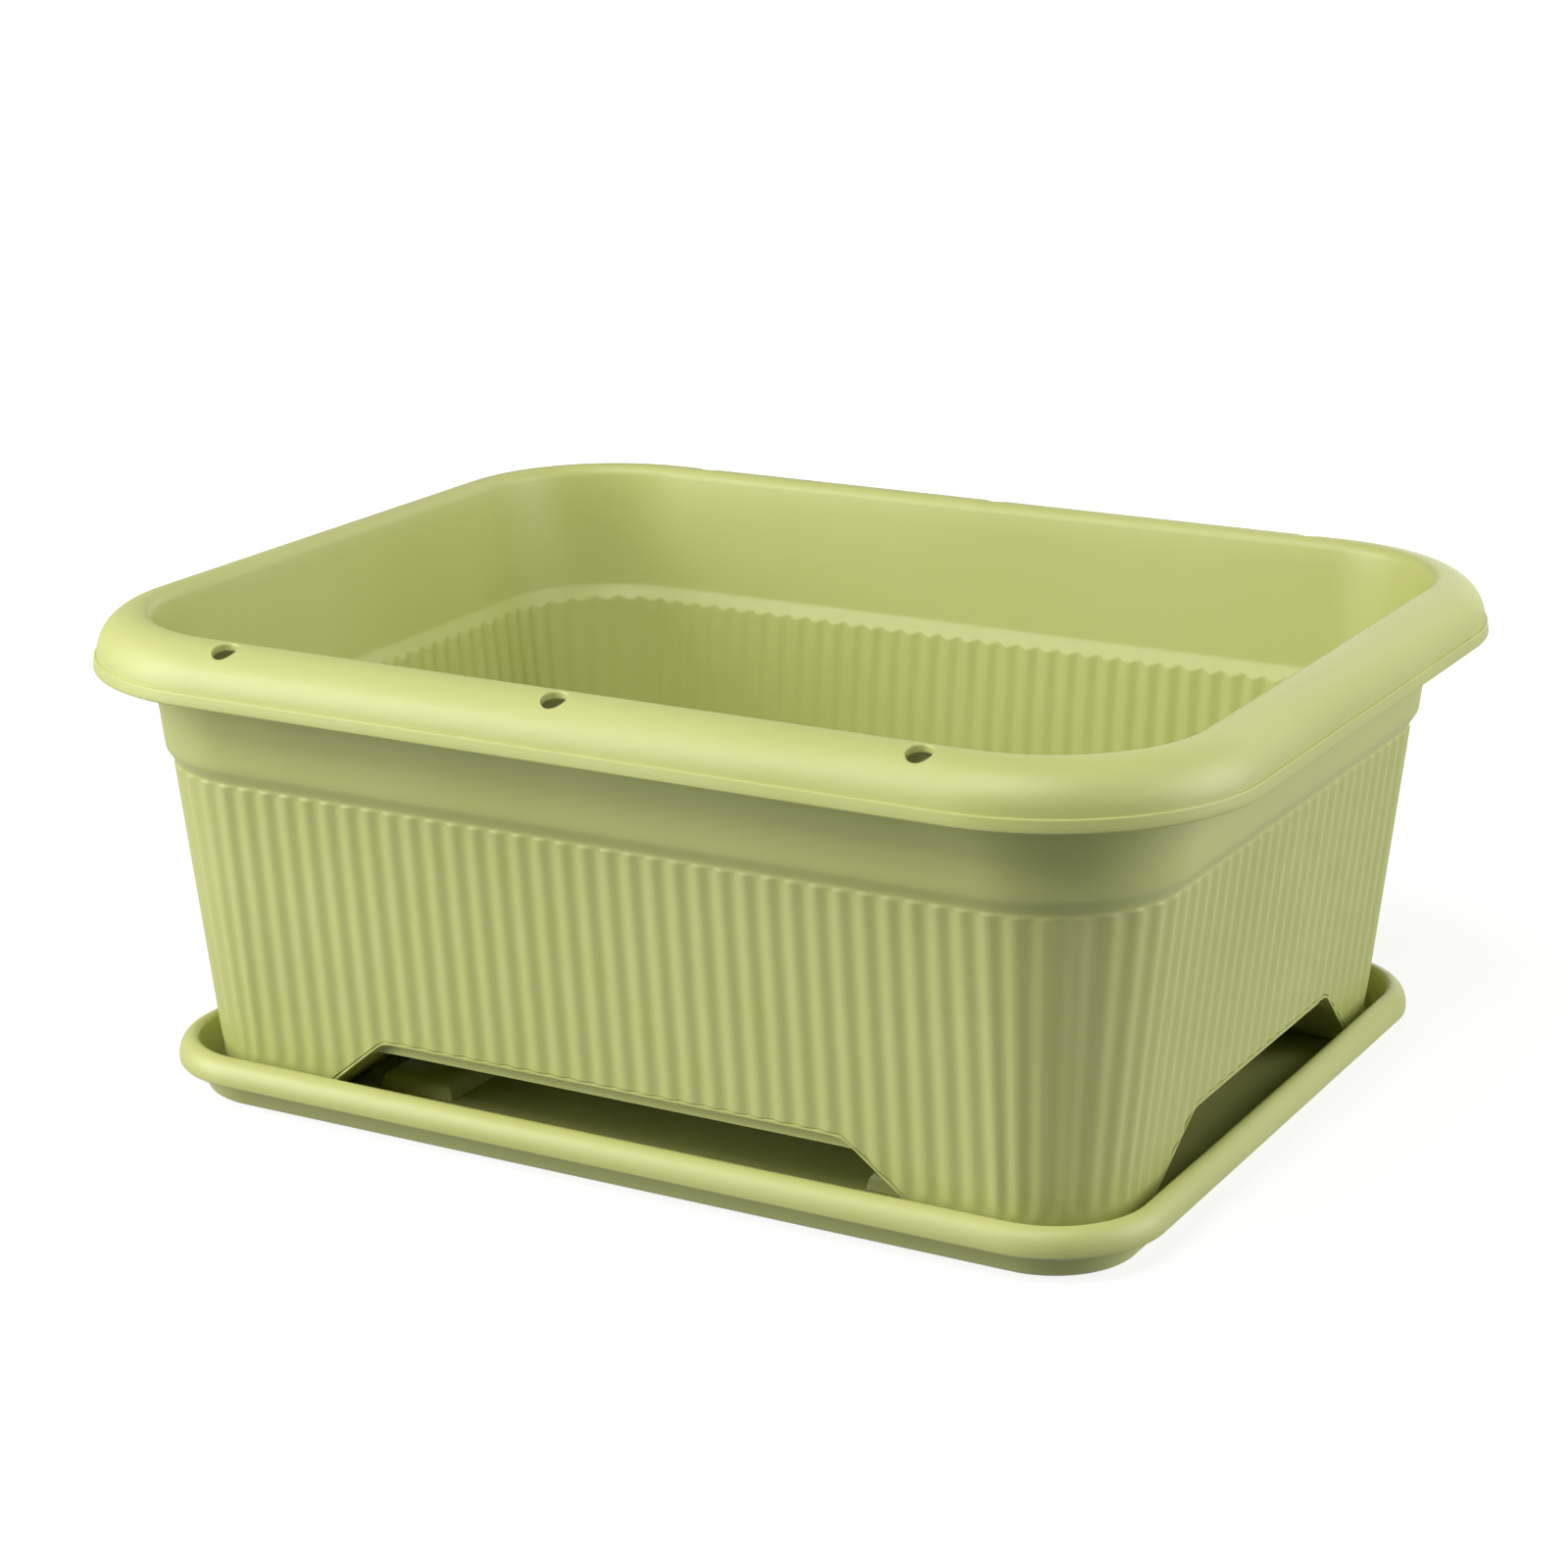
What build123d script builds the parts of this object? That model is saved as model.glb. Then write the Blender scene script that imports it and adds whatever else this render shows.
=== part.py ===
from build123d import *
from math import cos, pi, radians, sin, sqrt, tan
import os

os.makedirs("parts", exist_ok=True)

# Indoor herb planter: a ribbed rectangular tub with a wide rolled rim, standing in its drip saucer.
# Millimetres, +Z up. The origin is under the middle of the saucer, X runs along the planter
# and the front faces -Y. An inset is measured inwards from the outer edge of the tub's lip.

# Tub, overall
rim_length = 400.0
rim_depth = 322.0
rim_corner = 68.0  # corner radius of the lip
tub_height = 160.2  # foot to the ridge of the rim
wall = 2.8  # measured level, through the side walls
draft = 6.4  # lean of the walls, in degrees

# Rim: a hollow dome that turns down to a short lip
rim_height = 18.2  # lip edge to ridge
ridge_inset = 15.8
ridge_round = 4.0  # rounding from the ridge down to the inside
lip_height = 4.4
lip_flare = 0.7  # how far the lip spreads towards its edge
lip_ledge = 0.7  # narrow ledge on top of the lip, where the dome ends
rim_wall = 2.4

# Cane holes along both long sides of the rim
cane_hole_diameter = 8.2
cane_hole_spacing = 120.0
cane_holes_per_side = 3
cane_hole_inset = 10.9

# Shoulder, where the smooth upper band steps in to the ribbed wall
shoulder_drop = 50.8  # ridge down to the foot of the shoulder
shoulder_step = 2.27  # how far the outside steps in
shoulder_rise = 5.8  # height of that step outside
ledge_rise = 5.9  # height of the sloping ledge inside

# Ribs: rounded vertical flutes, on both faces of the lower wall
rib_height = 1.0  # crest to groove
rib_margin = 0.2  # bare strip between the ribs and the plain wall above and below
ribs_front = 33.5  # on the straight of a long side
ribs_corner = 7.75
ribs_side = 23  # on the straight of a short side
rib_clear = 12.8  # plain band left above the foot

# Feet: trapezoid notches in the four walls leave a foot at each corner
foot_round = 8.0
notch_height = 28.4  # foot up to the top of the notch
notch_front_half = 83.1  # half width of the long sides' notches, at their top
notch_side_half = 55.4  # half width of the short sides' notches, at their top
notch_slant = 1.18  # how far a notch spreads for each millimetre down
notch_lip_depth = 4.3  # outer face of the wall to the lip of the raised floor behind it
notch_lip_drop = 4.5  # how far that lip hangs below the top of the notch
floor_thickness = 2.5

# Drain holes through the raised floor
drain_diameter = 6.0
drain_spacing = 34.0
drains_each_way = 5

# Saucer
saucer_floor = 3.2
saucer_wall = 2.2
saucer_gap = 2.1  # level gap round the tub's foot
saucer_corner = 37.0  # corner radius of the roll's outside
roll_reach = 10.8  # edge of the inside floor out to the roll's outside
roll_top = 18.2  # underside of the saucer to the top of the roll
roll_edge = 9.6  # underside of the saucer to the roll's lower edge
roll_ridge_inset = 5.0  # roll's outside in to its highest line
roll_shoulder = 11.4  # height at which the roll's side turns into its dome
roll_round = 2.0  # rounding from the roll's highest line down to the inside
saucer_base_round = 2.5

# Raised pads on the saucer's floor, one in the angle inside each foot
pad_height = 6.0
pad_width = 27.0
pad_gap = 5.5  # foot to pad, at the pad's top
pad_reach = 36.0  # how far each arm runs past the pad's corner
pad_round = 4.0

# Levels, from the underside of the saucer
lean = tan(radians(draft))
foot_level = saucer_floor
ridge_level = foot_level + tub_height
lip_level = ridge_level - rim_height
bead_level = lip_level + lip_height
shoulder_level = ridge_level - shoulder_drop
rib_end_level = foot_level + rib_clear
notch_level = foot_level + notch_height
channel_level = notch_level - notch_lip_drop
floor_level = channel_level + floor_thickness
ledge_level = notch_level + floor_thickness
pocket_level = foot_level + wall

# Insets of the wall
dome_inset = lip_flare + lip_ledge
dome_height = ridge_level - bead_level
hollow_level = ridge_level - rim_wall
round_end = ridge_level - ridge_round * (1 - sin(radians(draft)))
inside_inset = ridge_inset + ridge_round * cos(radians(draft))
ledge_top_level = shoulder_level + ledge_rise
ledge_top_inset = inside_inset + (round_end - ledge_top_level) * lean
band_foot_level = shoulder_level + shoulder_rise
band_foot_inset = ledge_top_inset - wall + (ledge_top_level - band_foot_level) * lean
band_top_inset = band_foot_inset - (hollow_level - band_foot_level) * lean
shoulder_inset = band_foot_inset + shoulder_step
crest_inset = shoulder_inset + rib_margin
foot_inset = crest_inset + (shoulder_level - foot_level) * lean
ribs_half = ribs_front + ribs_side + 2 * ribs_corner


def crest_inset_at(level):
    """Inset of the rib crests at a height."""
    return crest_inset + (shoulder_level - level) * lean


def rim_path(length, depth, corner):
    """Closed rounded rectangle, starting in the middle of the front."""
    straight_x = length / 2 - corner
    straight_y = depth / 2 - corner
    start = (0, -depth / 2)
    with BuildLine() as path:
        Line(start, (straight_x, -depth / 2))
        CenterArc((straight_x, -straight_y), corner, 270, 90)
        Line((length / 2, -straight_y), (length / 2, straight_y))
        CenterArc((straight_x, straight_y), corner, 0, 90)
        Line((straight_x, depth / 2), (-straight_x, depth / 2))
        CenterArc((-straight_x, straight_y), corner, 90, 90)
        Line((-length / 2, straight_y), (-length / 2, -straight_y))
        CenterArc((-straight_x, -straight_y), corner, 180, 90)
        Line((-straight_x, -depth / 2), start)
    return path.wire()


def section_plane(depth):
    """Plane across the front wall, with the inset along its x and the height along its y."""
    return Plane(origin=(0, -depth / 2, 0), x_dir=(0, 1, 0), z_dir=(1, 0, 0))


def plain_outline(inset):
    """Rounded rectangle that lies an inset inside the tub's lip."""
    RectangleRounded(rim_length - 2 * inset, rim_depth - 2 * inset, rim_corner - inset)


def rib_point(rib, inset, bulge):
    """Point a bulge outside the outline at a rib number, counted from a crest at the front's middle."""
    half, count = divmod(rib, ribs_half)
    side = 1 if half % 2 == 0 else -1
    mirrored = count > ribs_half / 2
    count = ribs_half - count if mirrored else count
    centre_x = rim_length / 2 - rim_corner
    centre_y = rim_depth / 2 - rim_corner
    radius = rim_corner - inset + bulge
    if count < ribs_front / 2:
        x, y = count / (ribs_front / 2) * centre_x, -centre_y - radius
    elif count > ribs_half / 2 - ribs_side / 2:
        x, y = centre_x + radius, (count - ribs_half / 2) / (ribs_side / 2) * centre_y
    else:
        angle = (count - ribs_front / 2) / ribs_corner * pi / 2
        x, y = centre_x + radius * sin(angle), -centre_y - radius * cos(angle)
    y = -y if mirrored else y
    return (side * x, side * y)


def ribbed_outline(crest):
    """Closed outline of tangent arcs: a crest and a groove in turn, whose crests lie at an inset."""
    middle = crest + rib_height / 2
    arcs = []
    for step in range(int(4 * ribs_half)):
        rib = step / 2
        bulge = -rib_height / 2 if step % 2 else rib_height / 2
        start = rib_point(rib - 0.25, middle, 0)
        top = rib_point(rib, middle, bulge)
        end = rib_point(rib + 0.25, middle, 0)
        arcs.append(ThreePointArc(start, top, end, mode=Mode.PRIVATE))
    add(arcs)


def notch_outline(half_width, top, spread=0.0):
    """Trapezoid of a notch or channel up to a level, widened level by a spread."""
    top_half = half_width + (notch_level - top) * notch_slant + spread
    foot_half = half_width + notch_height * notch_slant + spread
    below = foot_half + foot_level * notch_slant
    Polyline((-top_half, top), (top_half, top), (below, 0), (-below, 0), close=True)


# The hollows inside the four feet: the inside of the tub, less the two channels and their walls
channel_wall = floor_thickness * sqrt(1 + notch_slant**2)
with BuildPart() as foot_hollows:
    for level in (pocket_level, ledge_level):
        with BuildSketch(Plane.XY.offset(level)):
            plain_outline(crest_inset_at(level) + rib_height + wall + rib_margin)
    loft(ruled=True)
    with BuildSketch(Plane.XZ):
        with BuildLine():
            notch_outline(notch_front_half, ledge_level, channel_wall)
        make_face()
    extrude(amount=rim_depth, both=True, mode=Mode.SUBTRACT)
    with BuildSketch(Plane.YZ):
        with BuildLine():
            notch_outline(notch_side_half, ledge_level, channel_wall)
        make_face()
    extrude(amount=rim_length, both=True, mode=Mode.SUBTRACT)

# What is open under and in the floor: two crossing channels, the taller notches where they leave
# the walls, the well inside the floor's ledge, and the drain holes
with BuildPart() as floor_openings:
    with BuildSketch(Plane.XZ):
        with BuildLine():
            notch_outline(notch_front_half, channel_level)
        make_face()
    extrude(amount=rim_depth, both=True)
    with BuildSketch(Plane.YZ):
        with BuildLine():
            notch_outline(notch_side_half, channel_level)
        make_face()
    extrude(amount=rim_length, both=True)
    lip_inset = crest_inset_at(notch_level) + notch_lip_depth
    for facing in (Plane.XZ, -Plane.XZ):
        with BuildSketch(facing.offset(rim_depth / 2 - lip_inset)):
            with BuildLine():
                notch_outline(notch_front_half, notch_level)
            make_face()
        extrude(amount=lip_inset)
    for facing in (Plane.YZ, -Plane.YZ):
        with BuildSketch(facing.offset(rim_length / 2 - lip_inset)):
            with BuildLine():
                notch_outline(notch_side_half, notch_level)
            make_face()
        extrude(amount=lip_inset)
    with BuildSketch(Plane.XY.offset(floor_level)):
        plain_outline(crest_inset_at(floor_level) + rib_height + wall + notch_lip_depth)
    extrude(amount=ledge_level - floor_level)
    with BuildSketch(Plane.XY.offset(channel_level)):
        with GridLocations(drain_spacing, drain_spacing, drains_each_way, drains_each_way):
            Circle(drain_diameter / 2)
    extrude(amount=floor_thickness)

# Rim and upper band, one section carried round the lip, and pierced for canes
with BuildPart() as rim:
    with BuildSketch(section_plane(rim_depth)):
        with BuildLine():
            Polyline((0, lip_level), (lip_flare, bead_level), (dome_inset, bead_level))
            EllipticalCenterArc(
                (ridge_inset, bead_level), ridge_inset - dome_inset, dome_height, 90, arc_size=90
            )
            CenterArc((ridge_inset, ridge_level - ridge_round), ridge_round, draft, 90 - draft)
            Polyline(
                (inside_inset, round_end),
                (ledge_top_inset, ledge_top_level),
                (shoulder_inset + wall, shoulder_level),
                (shoulder_inset, shoulder_level),
                (band_foot_inset, band_foot_level),
                (band_top_inset, hollow_level),
                (ridge_inset, hollow_level),
            )
            EllipticalCenterArc(
                (ridge_inset, bead_level),
                ridge_inset - dome_inset - rim_wall,
                dome_height - rim_wall,
                90,
                arc_size=90,
            )
            Polyline((dome_inset + rim_wall, bead_level), (rim_wall, lip_level), (0, lip_level))
        make_face()
    sweep(path=rim_path(rim_length, rim_depth, rim_corner))
    cane_row = rim_depth - 2 * cane_hole_inset
    with BuildSketch(Plane.XY.offset(bead_level)):
        with GridLocations(cane_hole_spacing, cane_row, cane_holes_per_side, 2):
            Circle(cane_hole_diameter / 2)
    extrude(amount=dome_height, mode=Mode.SUBTRACT)

# Tub
with BuildPart() as tub:
    # Plain band above the feet, rounded at the bottom
    for level in (foot_level, rib_end_level):
        with BuildSketch(Plane.XY.offset(level)):
            plain_outline(crest_inset_at(level) + rib_margin)
    loft(ruled=True)
    fillet(tub.faces().sort_by(Axis.Z)[0].edges(), foot_round)

    # Ribbed wall: its inside follows the grooves and crests outside
    for level in (rib_end_level, shoulder_level):
        with BuildSketch(Plane.XY.offset(level)):
            with BuildLine():
                ribbed_outline(crest_inset_at(level))
            make_face()
    loft(ruled=True, clean=False)
    for level in (ledge_level, shoulder_level):
        with BuildSketch(Plane.XY.offset(level)):
            with BuildLine():
                ribbed_outline(crest_inset_at(level) + wall)
            make_face()
    loft(ruled=True, mode=Mode.SUBTRACT, clean=False)

    add(floor_openings.part, mode=Mode.SUBTRACT, clean=False)
    add(foot_hollows.part, mode=Mode.SUBTRACT, clean=False)
    add(rim.part, clean=False)

tub.part.label = "tub"
export_step(tub.part, "parts/tub.step")

# Saucer, sized from the tub's foot
saucer_length = rim_length + 2 * (saucer_gap + roll_reach - foot_inset)
saucer_depth = rim_depth + 2 * (saucer_gap + roll_reach - foot_inset)
roll_inner_level = roll_top - roll_round
roll_inner_inset = roll_ridge_inset + roll_round
roll_dome = roll_top - roll_shoulder
roll_hollow = roll_top - saucer_wall
saucer_lean = (roll_reach - roll_inner_inset) / (roll_inner_level - saucer_floor)
wall_foot_inset = roll_reach - saucer_wall
base_inset = wall_foot_inset + saucer_floor * saucer_lean
pad_level = saucer_floor + pad_height
pad_spread = (notch_level - pad_level) * notch_slant - pad_gap - pad_width / 2
pad_x = notch_front_half + pad_spread
pad_y = notch_side_half + pad_spread
with BuildPart() as saucer:
    # Floor
    for level, inset in ((0, base_inset), (saucer_floor, wall_foot_inset)):
        with BuildSketch(Plane.XY.offset(level)):
            RectangleRounded(saucer_length - 2 * inset, saucer_depth - 2 * inset, saucer_corner - inset)
    loft(ruled=True)
    fillet(saucer.faces().sort_by(Axis.Z)[0].edges(), saucer_base_round)

    # Side wall and rolled rim, one section carried round
    with BuildSketch(section_plane(saucer_depth)):
        with BuildLine():
            Line((0, roll_edge), (0, roll_shoulder))
            EllipticalCenterArc(
                (roll_ridge_inset, roll_shoulder), roll_ridge_inset, roll_dome, 90, arc_size=90
            )
            CenterArc((roll_ridge_inset, roll_inner_level), roll_round, 0, 90)
            Polyline(
                (roll_inner_inset, roll_inner_level),
                (roll_reach, saucer_floor),
                (wall_foot_inset, saucer_floor),
                (roll_ridge_inset, roll_hollow),
            )
            EllipticalCenterArc(
                (roll_ridge_inset, roll_shoulder),
                roll_ridge_inset - saucer_wall,
                roll_dome - saucer_wall,
                90,
                arc_size=90,
            )
            Polyline((saucer_wall, roll_shoulder), (saucer_wall, roll_edge), (0, roll_edge))
        make_face()
    sweep(path=rim_path(saucer_length, saucer_depth, saucer_corner))

    # Angled pads that lie inside the feet
    for side_x in (-1, 1):
        for side_y in (-1, 1):
            corner_point = (side_x * pad_x, side_y * pad_y)
            arm_end_x = (side_x * (pad_x + pad_reach), side_y * pad_y)
            arm_end_y = (side_x * pad_x, side_y * (pad_y + pad_reach))
            with BuildSketch(Plane.XY.offset(saucer_floor)):
                with BuildLine():
                    Polyline(arm_end_x, corner_point, arm_end_y)
                trace(line_width=pad_width)
            extrude(amount=pad_height)
            fillet(saucer.faces(Select.LAST).sort_by(Axis.Z)[-1].edges(), pad_round)

saucer.part.label = "saucer"
export_step(saucer.part, "parts/saucer.step")
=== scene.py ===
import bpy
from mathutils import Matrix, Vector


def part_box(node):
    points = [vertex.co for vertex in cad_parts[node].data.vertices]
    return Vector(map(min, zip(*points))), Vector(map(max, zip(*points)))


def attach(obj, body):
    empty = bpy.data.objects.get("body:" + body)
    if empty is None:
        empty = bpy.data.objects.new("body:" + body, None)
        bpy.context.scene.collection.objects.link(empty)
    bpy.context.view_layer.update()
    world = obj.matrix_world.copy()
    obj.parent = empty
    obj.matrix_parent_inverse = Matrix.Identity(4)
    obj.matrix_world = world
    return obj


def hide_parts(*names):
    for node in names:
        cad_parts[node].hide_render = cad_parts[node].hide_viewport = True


bl_info = {
    "name": "Indoor herb planter",
    "version": (1, 0, 0),
    "blender": (4, 5, 0),
    "location": "3D View > Sidebar > Planter",
    "description": "Builds a ribbed planter tub, its drip saucer and a soft studio around the packed model",
    "category": "Add Mesh",
}

import math
from types import SimpleNamespace

import bmesh
import bpy
import numpy as np
from mathutils import Matrix, Vector

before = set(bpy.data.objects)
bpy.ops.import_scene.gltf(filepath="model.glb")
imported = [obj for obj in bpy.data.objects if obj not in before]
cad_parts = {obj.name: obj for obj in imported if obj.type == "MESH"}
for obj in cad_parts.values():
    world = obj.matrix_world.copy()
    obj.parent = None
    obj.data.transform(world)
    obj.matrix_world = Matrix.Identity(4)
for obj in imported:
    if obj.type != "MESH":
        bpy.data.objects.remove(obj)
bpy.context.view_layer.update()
TUB_LOW, TUB_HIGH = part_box("tub")
SAUCER_LOW, SAUCER_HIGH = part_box("saucer")

MM = 0.001
MERGE = 1e-6
SHARP_ANGLE = math.radians(38)

# Tub details, in millimetres. An inset is measured inwards from the outer edge of the lip.
DRAFT = math.radians(6.4)
LEAN = math.tan(DRAFT)
RIDGE_INSET = 15.8
RIDGE_ROUND = 4.0
LIP_HEIGHT = 4.4
LIP_FLARE = 0.7
LIP_LEDGE = 0.7
RIM_WALL = 2.4
SHOULDER_STEP = 1.8
SHOULDER_RISE = 1.6
STEP_FOOT = 1.2
STEP_HEAD = 6.2
LEDGE_RISE = 5.9
LEDGE_SLOPE = 0.62
RIB_MARGIN = 0.2
RIB_FADE_LOW, RIB_FADE_HIGH = -2.5, 4.5
RIB_TOP = 0.9
RIB_TOP_ROUND = 0.8
RIB_TOP_RAMP = 1.2
STRIP_DEPTH = 0.65
NOTCH_STRIP_LOW, NOTCH_STRIP_HIGH = 1.0, 1.5
FOOT_ROUND = 8.0
POCKET_ROUND = 5.0
NOTCH_SLANT = 1.18
NOTCH_LIP_DEPTH = 4.3
NOTCH_LIP_DROP = 4.5
FLOOR_THICKNESS = 2.5
CORNER_SOFTNESS = 1.6
EDGE_ROUND = 0.45
CREASE_LEVEL = 2.0
CREASE_HALF = 0.4
CREASE_DEPTH = 0.8
RING_INSET = 47.0
CANE_HOLE_EDGE = 0.5
DRAIN_CELL = 5.0
DRAIN_RADIUS = 3.0
DRAIN_SPACING = 34.0
DRAINS_EACH_WAY = 5

# Rib numbers counted from the middle of the front to the middle of a side, and their places on the path, in
# units of which 16.5 make half of the front's straight, 8.5 a corner and 11.5 half of a side's straight
STRETCHES = (16.5, 8.5, 11.5)
RIB_NUMBERS = (0, 16, 17, 18, 19, 20, 20.5, 21, 22, 23, 24, 25, 26, 36)
RIB_PLACES = (0, 15.8, 16.8, 17.83, 18.93, 20.12, 20.75, 21.36, 22.53, 23.6, 24.61, 25.58, 26.55, 36.5)

# Columns of the tub's surface for each rib, on the ribbed wall and on the plain rim
RIB_COLUMNS = 6
RIM_COLUMNS = 3

# Heights of the tub's rows: outside above the foot, inside from the ledge's top, and above the feet's hollows.
# Up to the squeeze height the rows are squeezed together to follow the notches.
OUTSIDE_ROWS = (
    EDGE_ROUND, 1.0, CREASE_LEVEL - CREASE_HALF, CREASE_LEVEL, CREASE_LEVEL + CREASE_HALF, 3.1, 4.6, 6.4,
    8.6, 10.6, 12.4, 14.0, 15.8, 18.4, 23, 31, 43, 57, 74, 90,
    100, 104.5, 106.8, 107.8, 108.25, 108.6, 108.95, 109.3, 109.65, 110.0, 110.3,
)
INSIDE_ROWS = (
    2.5, 1.0, 0.3, -0.4, -1.6, -2.8, -3.3, -3.7, -4.1, -4.5, -4.9, -5.3, -5.7, -6.3, -8, -14, -24, -37, -51, -63,
)
HOLLOW_ROWS = (42, 36, 30, 24, 18, 12, 8, 5.5, 3.6, 2.2, 1.1, 0.4, 0.0)
OUTSIDE_SQUEEZE = 70.0
INSIDE_SQUEEZE = 72.0

# Saucer details, in millimetres
SAUCER_WALL = 2.2
ROLL_REACH = 10.8
ROLL_RIDGE_INSET = 5.0
ROLL_ROUND = 2.0
SAUCER_BASE_ROUND = 2.5
SAUCER_FLOOR_ROUND = 3.0
PAD_HEIGHT = 6.0
PAD_ROUND = 4.0

# Soft boxes: name, setting of their power, azimuth from +X and elevation in degrees
SOFT_BOXES = (
    ("left_light", "left_power", -139, 18),
    ("right_light", "right_power", 20, 18),
    ("front_light", "front_power", -90, 55),
    ("top_light", "top_power", 0, 90),
    ("back_light", "back_power", 90, 18),
    ("sheen_light", "sheen_power", 150, 55),
)

# Camera: place in metres, then heading from +Y, tilt down and roll in degrees
CAMERA_PLACE = (0.55717, -1.01596, 0.44684)
CAMERA_TURNS = (29.022, 16.851, -0.36)

# Floor: radii of its rings in millimetres, and the distances in metres between which its glow rises to full
FLOOR_RINGS = (12000.0, 5000.0, 2000.0, 800.0, 300.0, 0.0)
GLOW_NEAR, GLOW_FAR = 0.25, 0.6


def length(label, description, default):
    """A length property in metres."""
    return bpy.props.FloatProperty(name=label, description=description, default=default, unit="LENGTH", precision=4)


def colour(label, description, default):
    """A linear colour property."""
    return bpy.props.FloatVectorProperty(
        name=label, description=description, default=default, subtype="COLOR", size=3, min=0.0, max=1.0
    )


def power(label, description, default):
    """A light's power property in watts."""
    return bpy.props.FloatProperty(name=label, description=description, default=default, unit="POWER", min=0.0)


def share(label, description, default):
    """A plain number from nothing to all."""
    return bpy.props.FloatProperty(name=label, description=description, default=default, min=0.0, max=1.0)


class TubSizes(bpy.types.PropertyGroup):
    """Sizes of the ribbed tub."""

    rim_length: length("Rim length", "Outside of the lip along the planter", TUB_HIGH.x - TUB_LOW.x)
    rim_depth: length("Rim depth", "Outside of the lip across the planter", TUB_HIGH.y - TUB_LOW.y)
    rim_corner: length("Rim corner", "Corner radius of the lip", 0.068)
    ridge_level: length("Ridge height", "Height of the rim's highest line above the table", TUB_HIGH.z)
    foot_level: length("Foot height", "Height of the feet above the table", TUB_LOW.z)
    rim_height: length("Rim height", "Lip's lower edge up to the ridge", 0.0182)
    wall: length("Wall", "Thickness of the side walls", 0.0028)
    shoulder_drop: length("Shoulder drop", "Ridge down to the foot of the shoulder", 0.0508)
    rib_height: length("Rib height", "Groove up to the crest of a rib", 0.00085)
    rib_clear: length("Rib clearance", "Plain band above the foot", 0.0128)
    notch_height: length("Notch height", "Foot up to the top of a notch", 0.0284)
    notch_front_half: length("Front notch half width", "Half width of a long side's notch at its top", 0.0831)
    notch_side_half: length("Side notch half width", "Half width of a short side's notch at its top", 0.0554)
    cane_hole_radius: length("Support hole radius", "Radius of the holes in the rim", 0.0041)
    cane_hole_inset: length("Support hole inset", "Lip's outside to the middle of the holes", 0.0109)
    cane_hole_spacing: length("Support hole spacing", "Distance between holes along the rim", 0.120)


class SaucerSizes(bpy.types.PropertyGroup):
    """Sizes of the drip saucer."""

    length: length("Saucer length", "Outside of the roll along the saucer", SAUCER_HIGH.x - SAUCER_LOW.x)
    depth: length("Saucer depth", "Outside of the roll across the saucer", SAUCER_HIGH.y - SAUCER_LOW.y)
    corner: length("Saucer corner", "Corner radius of the roll", 0.037)
    floor: length("Floor thickness", "Height of the inside floor above the table", TUB_LOW.z)
    roll_top: length("Roll height", "Height of the roll above the table", SAUCER_HIGH.z)
    roll_edge: length("Roll edge", "Height of the roll's lower edge above the table", 0.0096)
    roll_shoulder: length("Roll shoulder", "Height at which the roll's side turns into its dome", 0.0114)
    pad_x: length("Pad place along", "Middle of a pad's corner along the saucer", 0.0905)
    pad_y: length("Pad place across", "Middle of a pad's corner across the saucer", 0.0628)
    pad_width: length("Pad width", "Width of a pad's arms", 0.027)
    pad_reach: length("Pad reach", "How far a pad's arms run past its corner", 0.036)


class PlasticLook(bpy.types.PropertyGroup):
    """Finish of the moulded plastic."""

    tub_colour: colour("Tub colour", "Main colour of the tub", (0.503, 0.528, 0.176))
    saucer_colour: colour("Saucer colour", "Main colour of the saucer", (0.498, 0.522, 0.173))
    roughness: share("Roughness", "How matt the plastic is", 0.42)
    clouding: share("Clouding", "Strength of the soft colour drift left by moulding", 0.04)
    grain: share("Grain", "Strength of the fine moulded grain", 0.10)


class StudioLook(bpy.types.PropertyGroup):
    """Floor, lights and camera."""

    floor_colour: colour("Floor colour", "Colour of the sheet under the planter", (0.30, 0.30, 0.295))
    floor_glow: share("Floor glow", "How brightly the sheet itself shines", 0.8)
    left_power: power("Left light", "Power of the soft box at the front left", 23.8)
    right_power: power("Right light", "Power of the soft box at the right", 19.5)
    front_power: power("Front light", "Power of the high soft box at the front", 17.2)
    top_power: power("Top light", "Power of the soft box overhead", 1.0)
    back_power: power("Back light", "Power of the soft box behind", 4.5)
    sheen_power: power("Sheen light", "Power of the high soft box at the back left", 0.5)
    bounce_power: power("Bounce light", "Power of the light that a white table throws back up", 12.5)
    sky: share("Surrounding light", "Strength of the even light that shows in the gloss", 0.4)
    lens: bpy.props.FloatProperty(
        name="Lens", description="Focal length in millimetres for a 36 mm sensor", default=83.53
    )


def in_millimetres(group):
    """The values of a group of lengths, in millimetres."""
    return SimpleNamespace(**{name: getattr(group, name) / MM for name in group.__annotations__})


def soft_min(a, b, softness):
    """The lesser of two values, with the bend between them rounded off."""
    return (a + b - np.sqrt((a - b) ** 2 + softness**2)) / 2


def soft_max(a, b, softness):
    """The greater of two values, with the bend between them rounded off."""
    return (a + b + np.sqrt((a - b) ** 2 + softness**2)) / 2


def smooth_step(low, high, value):
    """Rises smoothly from 0 at low to 1 at high."""
    t = np.clip((value - low) / (high - low), 0, 1)
    return t * t * (3 - 2 * t)


def arc(centre, radii, start, end, steps):
    """Points (inset, height) on an ellipse: 0 degrees is its outer side, 90 its top and 180 its inner side."""
    angle = np.radians(np.linspace(start, end, steps + 1))
    return np.stack([centre[0] - radii[0] * np.cos(angle), centre[1] + radii[1] * np.sin(angle)], -1)


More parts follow.
